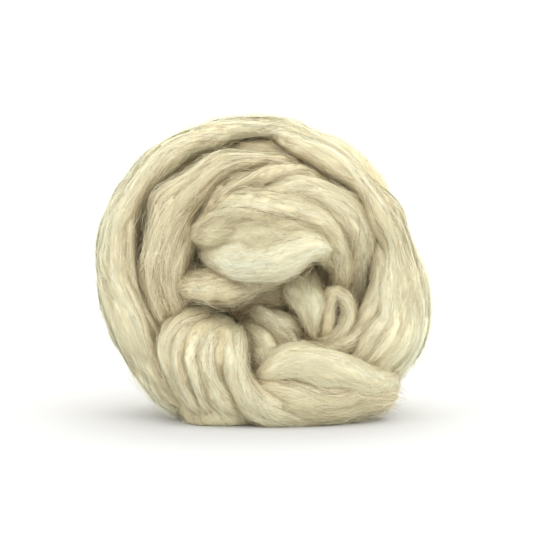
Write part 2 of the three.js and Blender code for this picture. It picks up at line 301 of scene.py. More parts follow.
@dataclass(frozen=True)
class StraySize(FibreSize):
    """Sizes in mm of the stray fibres, which bend away from the rope's run and stand off it."""

    # Usual height, number on a square mm, and the share of the girth that they start from
    loft: float = 2.0
    density: float = 0.3
    cover: float = 0.5
    first: tuple[float, float] = (-0.05, 0.55)
    # Spread of lengths, the shortest, and the longest in usual lengths
    spread: float = 0.45
    shortest: float = 3.0
    longest: float = 3.0
    # Spread of headings in degrees and of bends in radians
    heading: float = 28.0
    bend: float = 0.5
    # Evenness of heights, the lowest, the highest in usual heights, and how late a free end lifts
    even: float = 1.5
    lowest: float = 0.2
    highest: float = 4.0
    late: float = 1.7
    # Tone, its spread, its fall for each mm of height, where that stops, and range of widths
    tone: float = 0.6
    tone_spread: float = 0.12
    fall: float = 0.07
    fall_end: float = 2.5
    widths: tuple[float, float] = (0.6, 1.4)


@dataclass(frozen=True)
class LockSize:
    """How a stretch's fibres are gathered into locks, with lengths in mm."""

    # Share of the girth covered, where round it locks start, fibres in a lock and fewest locks
    cover: float = 0.66
    first: tuple[float, float] = (-0.08, 0.58)
    fibres: int = 14
    fewest: int = 8
    # A lock's wave length, half width, height over the next, rounded top and narrow tips
    pitch: tuple[float, float] = (25.0, 70.0)
    half: float = 2.0
    half_spread: float = 0.4
    rise: float = 0.1
    crown: float = 0.04
    tip: float = 0.45
    # Thin dark lines of painted shade where locks part, thin pale lines, and the share of each
    line_tones: tuple[float, float, float] = (0.0, -0.24, 0.18)
    line_shares: tuple[float, float, float] = (0.86, 0.09, 0.05)
    line_half: float = 0.35
    line_rise: float = 0.14
    # A fibre's place across its lock, length, shift, slant in degrees, width and roll
    place: float = 0.5
    lengths: tuple[float, float] = (0.5, 1.4)
    stagger: float = 0.2
    own_slant: float = 2.4
    widths: tuple[float, float] = (0.6, 1.5)
    roll: float = 0.12
    roll_spread: float = 0.08
    # How deep and how loosely it is bedded, and how far locks and patches differ in tone
    sink: float = 0.2
    loose: float = 0.05
    streak: float = 0.5
    patches: float = 0.09


@dataclass
class Fibres:
    """Fibres as rows of points, the ways out of the rope and tones there, and each one's width and roll."""

    # The width of a ribbon's tips, how blunt its taper is, and how much the tone of its edges differs
    TIP = 0.25
    TAPER = 0.6
    EDGE = 0.004

    points: np.ndarray
    normals: np.ndarray
    width: np.ndarray
    tone: np.ndarray
    roll: np.ndarray

    def kept(self, keep: np.ndarray) -> "Fibres":
        """Only the fibres that a mask keeps."""
        lists = (self.points, self.normals, self.width, self.tone, self.roll)
        return Fibres(*(values[keep] for values in lists))

    @staticmethod
    def gathered(several: list["Fibres"]) -> "Fibres":
        """All the fibres of several lots."""
        names = ("points", "normals", "width", "tone", "roll")
        return Fibres(*(np.concatenate([getattr(lot, name) for lot in several]) for name in names))

    def ribbons(self, name: str, material: bpy.types.Material, soft: float) -> bpy.types.Object:
        """Mesh the fibres as narrow ribbons that taper at both ends.

        Args:
            name: The piece's name.
            material: Its material.
            soft: How far they are shaded as the rope's surface, from 0 for the ribbon alone to 1.

        Returns:
            The piece.
        """
        count, stops = self.points.shape[:2]
        run = unit(np.gradient(self.points, axis=1))
        side = unit(np.cross(run, self.normals))
        up = np.cross(side, run)
        roll = self.roll[:, None, None]
        lean = np.cos(roll) * side + np.sin(roll) * up
        swell = np.sin(math.pi * np.linspace(0, 1, stops)) ** self.TAPER
        taper = self.TIP + (1 - self.TIP) * swell
        half = lean * (0.5 * self.width[:, None] * taper)[..., None]
        corners = np.stack([self.points - half, self.points + half], axis=2)
        corners[..., 2] = np.maximum(corners[..., 2], LOWEST)
        number = np.arange(count * stops * 2).reshape(count, stops, 2)
        near, far = number[:, :-1], number[:, 1:]
        quads = np.stack([near[..., 0], near[..., 1], far[..., 1], far[..., 0]], axis=-1).reshape(-1, 4)
        along = np.broadcast_to(np.linspace(0, 1, stops)[None, :, None], number.shape)
        tones = self.tone[..., None] + np.array([-self.EDGE, self.EDGE])
        places = np.stack([along, tones], axis=-1).reshape(-1, 2)
        piece = mesh_piece(name, corners.reshape(-1, 3), quads, material, places[quads.ravel()])
        shaded = unit(soft * self.normals + (1 - soft) * np.cross(lean, run))
        shaded = np.repeat(shaded, 2, axis=1).reshape(-1, 3)
        piece.data.normals_split_custom_set_from_vertices(shaded.tolist())
        return piece


@dataclass
class Stretch:
    """One stretch of the rope, its sections as rows of x, y, z, half width and half thickness in mm.

    Its outer face has folds, with furrows so many mm deep, and looks away from its pivot or out of the ball.
    Its fibres lie in layers, paler or darker by its tone, with painted shade over the mm tucked in at its
    start.
    """

    # Fewest rows and step in mm of its tables, and steps in each row and round a section
    TABLE_ROWS = 24
    TABLE_STEP = 1.5
    ROW_STEPS = 60
    ROUND_STEPS = 720
    # Waves of each kind: how many, the shortest in mm, and the most round the section
    DRIFT = (4, 70, 0)
    SPLIT = (5, 45, 3)
    LUMPS = (7, 30, 2)
    CLUMPS = (14, 40, 12)
    # Ridges to a fold and their depths, for locks, their parts and sheaves, and a ridge's mean
    RIDGES = ((1.0, 1.0), (2.3, 0.38), (5.1, 0.1))
    RIDGE_MEAN = 0.64
    # How far ridges wander and split, the height of lumps, and the thickness that has them in full
    WANDER = 2.5
    SPLIT_BY = 0.8
    LUMP_HEIGHT = 0.9
    FULL_THICK = 8
    # Painted shade on tucked ends: how much darker, and how far from the far end, in mm
    TUCK_SHADE = 0.26
    FAR_TUCK_SHADE = 8
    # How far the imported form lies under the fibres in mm, and its fewest rings and sides
    FORM_DEPTH = 0.16
    FORM_RINGS = 6
    FORM_SIDES = 16

    name: str
    region: Region
    rows: tuple[tuple[float, float, float, float, float], ...]
    folds: int = 3
    deep: float = 1.1
    pivot: tuple[float, float, float] | None = None
    closed: bool = False
    lay: Lay = Lay.COMBED
    layers: float = 3.7
    tone: float = 0.0
    tuck_shade_reach: float = 8.0
    locks: LockSize = LockSize()
    rng: np.random.Generator = field(init=False)

    def prepare(self, seed: int) -> None:
        """Work out the stretch's run, its section's shape and its ridges.

        Args:
            seed: The number that its random draws start from.
        """
        self.rng = np.random.default_rng(seed)
        rows = np.array(self.rows, float)
        last = len(rows) if self.closed else len(rows) - 1
        dense = spline(rows, np.linspace(0, last, self.ROW_STEPS * last + 1), self.closed)
        gone = np.concatenate([[0], np.cumsum(np.linalg.norm(np.diff(dense[:, :3], axis=0), axis=1))])
        self.length = gone[-1]
        steps = max(self.TABLE_ROWS, round(self.length / self.TABLE_STEP))
        self.gone = np.linspace(0, self.length, steps + 1)
        table = np.stack([np.interp(self.gone, gone, column) for column in dense.T], axis=1)
        self.middle, self.wide, self.thick = table[:, :3], table[:, 3], table[:, 4]
        run = np.gradient(self.middle, axis=0)
        if self.closed:
            run[0] = run[-1] = self.middle[1] - self.middle[-2]
        run = unit(run)
        face = self.outward(self.middle)
        self.face = unit(face - run * np.sum(face * run, axis=1, keepdims=True))
        self.side = np.cross(run, self.face)
        turns = np.linspace(0, 2 * math.pi, self.ROUND_STEPS + 1)
        arc = np.hypot(self.wide.mean() * np.sin(turns), self.thick.mean() * np.cos(turns))
        round_it = np.concatenate([[0], np.cumsum((arc[1:] + arc[:-1]) / 2)])
        self.turns, self.round_it = turns, round_it / round_it[-1]
        self.girth = math.pi * (1.5 * (self.wide + self.thick) - np.sqrt(self.wide * self.thick))
        cover = np.concatenate([[0], np.cumsum((self.girth[1:] + self.girth[:-1]) / 2)])
        self.cover = cover / cover[-1]
        self.drift = self.waves(*self.DRIFT)
        self.splits = [self.waves(*self.SPLIT) for _ in self.RIDGES]
        self.lumps = self.waves(*self.LUMPS)
        self.clumps = self.waves(*self.CLUMPS)

    def waves(self, terms: int, shortest: float, around: int) -> Waves:
        """Draw variation whose shortest waves along the stretch have a length in mm."""
        return Waves(self.rng, terms, self.length / shortest, around)

    def outward(self, points: np.ndarray) -> np.ndarray:
        """The way that the stretch's outer face looks: away from its pivot, or out of the ball."""
        if self.pivot:
            return points - np.array(self.pivot)
        sizes = np.array([HALF_WIDTH, HALF_DEPTH, HALF_HEIGHT])
        return (points - np.array([0, 0, AXIS_HEIGHT])) / sizes**2

    def at(self, table: np.ndarray, gone: np.ndarray) -> np.ndarray:
        """Read one of the stretch's tables at distances along it."""
        if table.ndim == 1:
            return np.interp(gone, self.gone, table)
        return np.stack([np.interp(gone, self.gone, column) for column in table.T], axis=-1)

    def spread(self, count: int) -> np.ndarray:
        """Draw distances along the stretch so that its whole surface is covered evenly."""
        return np.interp(self.rng.uniform(0, 1, count), self.cover, self.gone)

    def tucked(self, gone: np.ndarray) -> np.ndarray:
        """The painted shade on the fibres near the ends that are tucked into the winding."""
        if self.closed:
            return np.zeros(gone.shape)
        far = np.exp(-(self.length - gone) / self.FAR_TUCK_SHADE)
        return self.TUCK_SHADE * np.maximum(np.exp(-gone / self.tuck_shade_reach), far)

    def ridges(self, gone: np.ndarray, turn: np.ndarray) -> np.ndarray:
        """The height of the locks over the plain section, in mm.

        Args:
            gone: Distances along the stretch.
            turn: Places round the section, from 0 to 1.

        Returns:
            The height at each place: rounded locks with sharp furrows between them.
        """
        share = gone / self.length
        shifted = turn + self.WANDER * self.drift(share) / self.girth.mean()
        height = np.zeros(np.broadcast(gone, turn).shape)
        for order, (pitch, depth) in enumerate(self.RIDGES):
            locks = round(2 * self.folds * pitch)
            split = self.SPLIT_BY * self.splits[order](share, turn)
            ridge = np.abs(np.sin(math.pi * locks * shifted + split))
            height += self.deep * depth * (ridge - self.RIDGE_MEAN)
        fade = np.minimum(1, self.at(self.thick, gone) / self.FULL_THICK)
        return (height + self.LUMP_HEIGHT * self.lumps(share, turn)) * fade

    def surface(
        self, gone: np.ndarray, turn: np.ndarray, lift: np.ndarray | float
    ) -> tuple[np.ndarray, np.ndarray]:
        """Find points on or over the stretch's surface.

        Args:
            gone: Distances along the stretch, in mm.
            turn: Places round its section, from 0 to 1, the outer face in the first half.
            lift: Heights over the surface, in mm.

        Returns:
            The points and the outward directions there.
        """
        angle = np.interp(turn % 1.0, self.round_it, self.turns)
        wide, thick = self.at(self.wide, gone), self.at(self.thick, gone)
        side, face = self.at(self.side, gone), self.at(self.face, gone)
        across, upward = np.cos(angle), np.sin(angle)
        normal = unit(side * (across / wide)[..., None] + face * (upward / thick)[..., None])
        points = self.at(self.middle, gone)
        points = points + side * (wide * across)[..., None] + face * (thick * upward)[..., None]
        height = self.ridges(gone, turn) + lift
        return points + normal * height[..., None], normal

    def form(self, coarse: float) -> tuple[np.ndarray, np.ndarray, list[tuple[int, ...]]]:
        """Mesh the stretch's own surface, with closed ends.

        Args:
            coarse: The size of its faces, in mm.

        Returns:
            Points in mm and the ways out there, a row for each ring, and faces.
        """
        steps = max(self.FORM_RINGS, round(self.length / coarse))
        sides = max(self.FORM_SIDES, round(self.girth.mean() / coarse))
        along = np.linspace(0, self.length, steps + 1)
        along = along[:-1] if self.closed else along
        gone, turn = np.meshgrid(along, np.arange(sides) / sides, indexing="ij")
        points, normals = self.surface(gone, turn, -self.FORM_DEPTH)
        rings = len(along)
        faces = []
        for ring in range(rings if self.closed else rings - 1):
            for place in range(sides):
                near, far = ring * sides, (ring + 1) % rings * sides
                beside = (place + 1) % sides
                faces.append((near + place, far + place, far + beside, near + beside))
        if not self.closed:
            faces.append(tuple(range(sides)))
            faces.append(tuple(reversed(range((rings - 1) * sides, rings * sides))))
        return points, normals, faces

    def within(self, gone: np.ndarray) -> np.ndarray:
        """Keep distances on the stretch: round again on a closed one, up to the ends of an open one."""
        return gone % self.length if self.closed else np.clip(gone, 0, self.length)

    def fibres(self, size: FibreSize) -> Fibres:
        """Lay the stretch's fibres along its outer face, gathered into rounded locks that overlap.

        Args:
            size: How long, wide and finely stepped the fibres are.

        Returns:
            The fibres.
        """
        rng, lay, locks = self.rng, self.lay.value, self.locks
        area = locks.cover * self.girth.mean() * self.length
        count = round(self.layers * area / (size.length * size.width))
        each = (count, 1)
        lock = rng.integers(0, max(locks.fewest, count // locks.fibres), each)
        many = lock.max() + 1
        start = self.spread(many)[lock]
        first = rng.uniform(*locks.first, many)[lock]
        slant = np.tan(np.radians(rng.normal(0, lay.slant, many)))[lock]
        swing = rng.normal(0, lay.wave, many)[lock]
        phase = rng.uniform(0, 2 * math.pi, many)[lock]
        # Some locks are thin lines: the dark ones are painted shade where locks part
        line = rng.choice(locks.line_tones, many, p=locks.line_shares)[lock]
        pitch = rng.uniform(*locks.pitch, many)[lock]
        half = rng.lognormal(math.log(locks.half), locks.half_spread, many)[lock]
        half = np.where(line == 0, half, locks.line_half)
        rise = np.where(line == 0, rng.exponential(locks.rise, many)[lock], locks.line_rise)
        shade = line + rng.normal(0, locks.streak * lay.streaks, many)[lock]
        place = np.clip(rng.normal(0, locks.place, each), -1, 1)
        lengths = size.length * rng.uniform(*locks.lengths, each)
        middle = rng.normal(0, locks.stagger * size.length, each)
        own = np.tan(np.radians(rng.normal(0, locks.own_slant, each)))
        travelled = middle + lengths * np.linspace(-0.5, 0.5, size.steps + 1)
        gone = self.within(start + travelled)
        spindle = np.cos(np.clip(travelled / size.length, -1, 1) * math.pi / 2)
        sway = swing * np.sin(2 * math.pi * travelled / pitch + phase)
        drift = self.WANDER * (self.drift(gone / self.length) - self.drift(start / self.length))
        across = place * half * (locks.tip + (1 - locks.tip) * spindle)
        aside = slant * travelled + own * travelled + sway - drift + across
        turn = first + aside / self.at(self.girth, gone)
        crown = locks.crown * half * (1 - place**2)
        lift = (rise + crown) * spindle - locks.sink + rng.exponential(locks.loose, each)
        points, normals = self.surface(gone, turn, lift)
        tone = PLAIN_TONE + self.tone + shade + locks.patches * self.clumps(start / self.length, first)
        # Painted shade near the tucked ends
        tone = tone + rng.normal(0, lay.streaks, each) - self.tucked(gone)
        width = size.width * rng.uniform(*locks.widths, count)
        roll = locks.roll * place[:, 0] + rng.normal(0, locks.roll_spread, count)
        return Fibres(points, normals, width, tone, roll)

    def strays(self, size: StraySize) -> Fibres:
        """Lay stray fibres that stand a little off the outer face and blur its outline.

        Args:
            size: How long, wide, high and closely set they are.

        Returns:
            The fibres.
        """
        rng = self.rng
        area = size.cover * self.girth.mean() * self.length
        count = round(size.density * self.lay.value.frizz * area)
        each = (count, 1)
        lengths = rng.lognormal(math.log(size.length), size.spread, each)
        lengths = np.clip(lengths, size.shortest, size.longest * size.length)
        along = np.linspace(0, 1, size.steps + 1)
        heading = np.radians(rng.normal(0, size.heading, each))
        heading = heading + rng.normal(0, size.bend, each) * along
        onward = np.where(rng.uniform(size=each) < 0.5, -1.0, 1.0)
        step = onward * lengths / size.steps
        gone = self.within(self.spread(count)[:, None] + np.cumsum(step * np.cos(heading), axis=1))
        first = rng.uniform(*size.first, each)
        turn = first + np.cumsum(step * np.sin(heading), axis=1) / self.at(self.girth, gone)
        height = rng.gamma(size.even, size.loft / size.even, each)
        height = np.clip(height, size.lowest, size.highest * size.loft)
        bowed = rng.uniform(size=each) < 0.5
        lift = height * np.where(bowed, np.sin(math.pi * along), along**size.late)
        points, normals = self.surface(gone, turn, lift)
        tone = rng.normal(size.tone, size.tone_spread, each) - size.fall * np.minimum(lift, size.fall_end)
        width = size.width * rng.uniform(*size.widths, count)
        return Fibres(points, normals, width, tone, rng.uniform(-math.pi / 2, math.pi / 2, count))


class Packing:
    """Which stretches fill each small cell of the ball, so that buried fibres are left out.

    Lengths are in mm.
    """

    CELL = 2.0
    # How far out other stretches are looked for, to lay painted shade on closed-in silk, in mm
    REACHES = (2.5, 5.0, 8.0, 12.0, 18.0)
    LOW = np.array([-110.0, -100.0, -30.0])
    SHAPE = (110, 100, 110)
    # Marks are set along a stretch, round it and out from its middle, up to a share of the way to its skin
    STEP = 1.2
    AROUND = 64
    LAYERS = 8
    INSIDE = 0.86
    # The share of a fibre that has to be buried for it to be left out
    BURIED = 0.75

    def __init__(self, stretches: list[Stretch]) -> None:
        """Mark the cells that each stretch fills well inside its surface.

        Args:
            stretches: The stretches, at most 60.
        """
        self.cells = np.zeros(self.SHAPE, np.int64)
        for order, stretch in enumerate(stretches):
            along = np.arange(0, stretch.length, self.STEP)
            turns = np.linspace(0, 1, self.AROUND, endpoint=False)
            gone, turn = np.meshgrid(along, turns, indexing="ij")
            skin = stretch.surface(gone, turn, 0.0)[0]
            middle = stretch.at(stretch.middle, gone)
            for share in np.linspace(0, self.INSIDE, self.LAYERS):
                self.cells[self.places(middle + share * (skin - middle))] |= 1 << order

    def places(self, points: np.ndarray) -> tuple[np.ndarray, ...]:
        """The cells that points lie in."""
        found = ((points - self.LOW) / self.CELL).astype(int)
        return tuple(np.moveaxis(np.clip(found, 0, np.array(self.SHAPE) - 1), -1, 0))

    def shown(self, order: int, fibres: Fibres) -> np.ndarray:
        """Which fibres of a stretch aren't buried in the others."""
        others = self.cells[self.places(fibres.points)] & ~(1 << order)
        return np.mean(others != 0, axis=1) < self.BURIED

    def closeness(self, order: int, points: np.ndarray, normals: np.ndarray) -> np.ndarray:
        """How closely other stretches stand round points on a stretch.

        Args:
            order: The stretch's number.
            points: Rows of points that run along it.
            normals: The way out of it at each point.

        Returns:
            The share of the ways out, from 0 to 1, that another stretch stands in.
        """
        run = unit(np.gradient(points, axis=1))
        side = np.cross(run, normals)
        ways = (
            # outward, sideways, along
            (1.0, 0.0, 0.0),
            (0.6, 0.8, 0.0),
            (0.6, -0.8, 0.0),
            (0.3, 0.95, 0.0),
            (0.3, -0.95, 0.0),
            (0.6, 0.0, 0.8),
            (0.6, 0.0, -0.8),
        )
        total = np.zeros(points.shape[:2])
        for outward, sideways, along in ways:
            way = outward * normals + sideways * side + along * run
            met = np.zeros(total.shape, bool)
            for reach in self.REACHES:
                met |= (self.cells[self.places(points + reach * way)] & ~(1 << order)) != 0
            total += met
        return total / len(ways)


@dataclass
class RovingBall:
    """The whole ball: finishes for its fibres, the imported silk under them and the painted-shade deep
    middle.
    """

    finish: SilkFinish
    under: SilkFinish
    deep: SilkFinish
    # Painted shade on closed-in silk, how many times as strong it is on stray fibres, and painted light at
    # the rim
    painted_shade: float = 0.27
    stray_shading: float = 1.8
    painted_rim_light: float = 0.13
    # Where the painted rim light starts from the winding axis and how broad it is, in mm
    rim_start: float = 68.0
    rim_width: float = 18.0
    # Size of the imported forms' faces in mm, and how far fibres are shaded as the rope's surface
    form_step: float = 2.4
    softness: float = 0.45
    fibre: FibreSize = FibreSize()
    stray: StraySize = StraySize(16.0, 0.1, 3, 2.2, 0.26)
    fuzz: StraySize = StraySize(7.0, 0.09, 2, 1.7, 0.5)
    stretches: list[Stretch] = field(init=False)
    packing: Packing = field(init=False)

    def build(self) -> list[bpy.types.Object]:
        """Build and dress every piece.

        Returns:
            The pieces.
        """
        self.stretches = [*round_turns(), *PLACED_STRETCHES]
        for order, stretch in enumerate(self.stretches):
            stretch.prepare(SEED + order)
        self.packing = Packing(self.stretches)
        pieces = [self.forms(), self.middle(), *self.fibre_pieces()]
        for piece in pieces:
            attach(piece, "root")
        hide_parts("silk_roving")
        return pieces

    def forms(self) -> bpy.types.Object:
        """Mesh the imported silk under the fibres.

        Returns:
            The piece.
        """
        points, tones, faces = [], [], []
        for order, stretch in enumerate(self.stretches):
            own, normals, own_faces = stretch.form(self.form_step)
            # Painted shade where closed in and painted light at the rim, as on the fibres
            light = self.painted_light_at(order, own.swapaxes(0, 1), normals.swapaxes(0, 1)).T
            start = sum(len(lot) for lot in points)
            points.append(own.reshape(-1, 3))
            tones.append(np.clip(PLAIN_TONE + stretch.tone + light, *TONES).ravel())
            faces += [tuple(start + corner for corner in face) for face in own_faces]
        every = np.concatenate(points)
        every[:, 2] = np.maximum(every[:, 2], LOWEST)
        corners = np.concatenate(tones)[[corner for face in faces for corner in face]]
        places = np.stack([np.full(len(corners), PLAIN_TONE), corners], axis=1)
        return mesh_piece("packed_silk", every, faces, self.under.material(), places)

    def middle(self) -> bpy.types.Object:
        """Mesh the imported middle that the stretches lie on, which shows only at the bottom of the hollows.

        Returns:
            The piece.
        """
        around, rows = 40, 20
        half_sizes, centre = np.array([69.0, 30.0, 68.0]), np.array([0, 6.0, AXIS_HEIGHT])
        tilts = np.linspace(0, math.pi, rows + 1)[1:-1]
        tilt, turn = np.meshgrid(tilts, np.arange(around) * 2 * math.pi / around, indexing="ij")
        ball = np.stack([np.sin(tilt) * np.cos(turn), np.sin(tilt) * np.sin(turn), np.cos(tilt)], axis=-1)
        points = np.vstack([ball.reshape(-1, 3), [[0, 0, 1], [0, 0, -1]]]) * half_sizes + centre
        faces: list[tuple[int, ...]] = []
        for row in range(rows - 2):
            for place in range(around):
                near, far, beside = row * around, (row + 1) * around, (place + 1) % around
                faces.append((near + place, far + place, far + beside, near + beside))
        top, bottom, low = len(points) - 2, len(points) - 1, (rows - 2) * around
        for place in range(around):
            beside = (place + 1) % around
            faces.append((top, place, beside))
            faces.append((bottom, low + beside, low + place))
        places = np.full((sum(len(face) for face in faces), 2), PLAIN_TONE)
        # Its finish is painted shade, darker than the silk round it
        return mesh_piece("winding_middle", points, faces, self.deep.material(), places)

    def fibre_pieces(self) -> list[bpy.types.Object]:
        """Lay the fibres, region by region, and then the stray ones.

        Returns:
            The pieces.
        """
        material = self.finish.material()
        laid: dict[Region, list[Fibres]] = {region: [] for region in Region}
        for order, stretch in enumerate(self.stretches):
            fibres = stretch.fibres(self.fibre)
            shown = self.shown(order, fibres, 1.0)
            LOG.info("%s: %d of %d fibres", stretch.name, len(shown.width), len(fibres.width))
            laid[stretch.region].append(shown)
        pieces = []
        for region in Region:
            pieces.append(Fibres.gathered(laid[region]).ribbons(region.value, material, self.softness))
        for name, size in (("stray_fibres", self.stray), ("short_fuzz", self.fuzz)):
            lots = []
            for order, stretch in enumerate(self.stretches):
                lots.append(self.shown(order, stretch.strays(size), self.stray_shading))
            pieces.append(Fibres.gathered(lots).ribbons(name, material, 0.0))
        return pieces

    def shown(self, order: int, fibres: Fibres, strength: float) -> Fibres:
        """Keep a stretch's fibres that aren't buried, with painted shade where closed in and painted light
        at the rim.

        Args:
            order: The stretch's number.
            fibres: Its fibres.
            strength: How strongly the painted light and shade are laid on them, 1 being the usual strength.

        Returns:
            The fibres that show.
        """
        shown = fibres.kept(self.packing.shown(order, fibres))
        light = self.painted_light_at(order, shown.points, shown.normals)
        shown.tone = np.clip(shown.tone + strength * light, *TONES)
        return shown

    def painted_light_at(self, order: int, points: np.ndarray, normals: np.ndarray) -> np.ndarray:
        """The painted light and shade on the silk's tone at points on a stretch.

        Args:
            order: The stretch's number.
            points: Rows of points that run along it.
            normals: The way out of it at each point.

        Returns:
            The change of tone: painted light up round the rim and painted shade down where it is closed in.
        """
        # Painted shade: darker where other stretches stand close round the silk
        shade = self.painted_shade * self.packing.closeness(order, points, normals)
        if self.stretches[order].region is Region.FOLDS:
            return -shade
        # Painted light: paler towards the rim
        reach = np.hypot(points[..., 0], points[..., 2] - AXIS_HEIGHT)
        edge = np.clip((reach - self.rim_start) / self.rim_width, 0, 1)
        return self.painted_rim_light * edge**3 - shade


def outline_radius(angle: np.ndarray) -> np.ndarray:
    """The outline's radius at angles in degrees."""
    table = np.array(OUTLINE, float)
    return np.interp((angle + 180) % 360 - 180, table[:, 0], table[:, 1])


def round_turns() -> list[Stretch]:
    """The turns that run all the way round the rim and the back.

    Returns:
        Closed stretches.
    """
    sizes = (
        # name, region, depth, lean, inset, wide, thick, tone
        ("front_turn", Region.RIM, -24, 2, 40, 14, 10, 0.0),
        ("rim_front", Region.RIM, -6, -4, 12.5, 15.5, 9, 0.0),
        # rim_back and the back turns get darker tones: painted shade that keeps the back from looking too
        # bright
        ("rim_back", Region.RIM, 21, -6, 13, 19, 9, -0.08),
        ("back_wrap", Region.BACK, 41, 5, 28, 17, 10, -0.14),
        ("back_coil", Region.BACK, 52, -3, 51, 16, 9, -0.14),
    )
    angles = np.arange(0, 360, 18)
    turned = np.radians(angles)
    found = []
    for name, region, depth, lean, inset, wide, thick, tone in sizes:
        radius = outline_radius(angles) - inset
        columns = (
            radius * np.cos(turned),
            depth + lean * np.cos(turned + 1),
            AXIS_HEIGHT + radius * np.sin(turned),
            np.full(len(angles), wide),
            np.full(len(angles), thick),
        )
        rows = tuple(tuple(row) for row in np.stack(columns, axis=1))
        lay = Lay.SLEEK if region is Region.BACK else Lay.COMBED
        turn = Stretch(name, region, rows, folds=4, closed=True, lay=lay, layers=0.9, tone=tone, deep=1.4)
        found.append(turn)
    return found


# The settings that the creased folds of the fan share
FAN_CREASES = {"pivot": FAN_HEART, "tone": 0.06, "tuck_shade_reach": 20.0, "lay": Lay.CREASED}
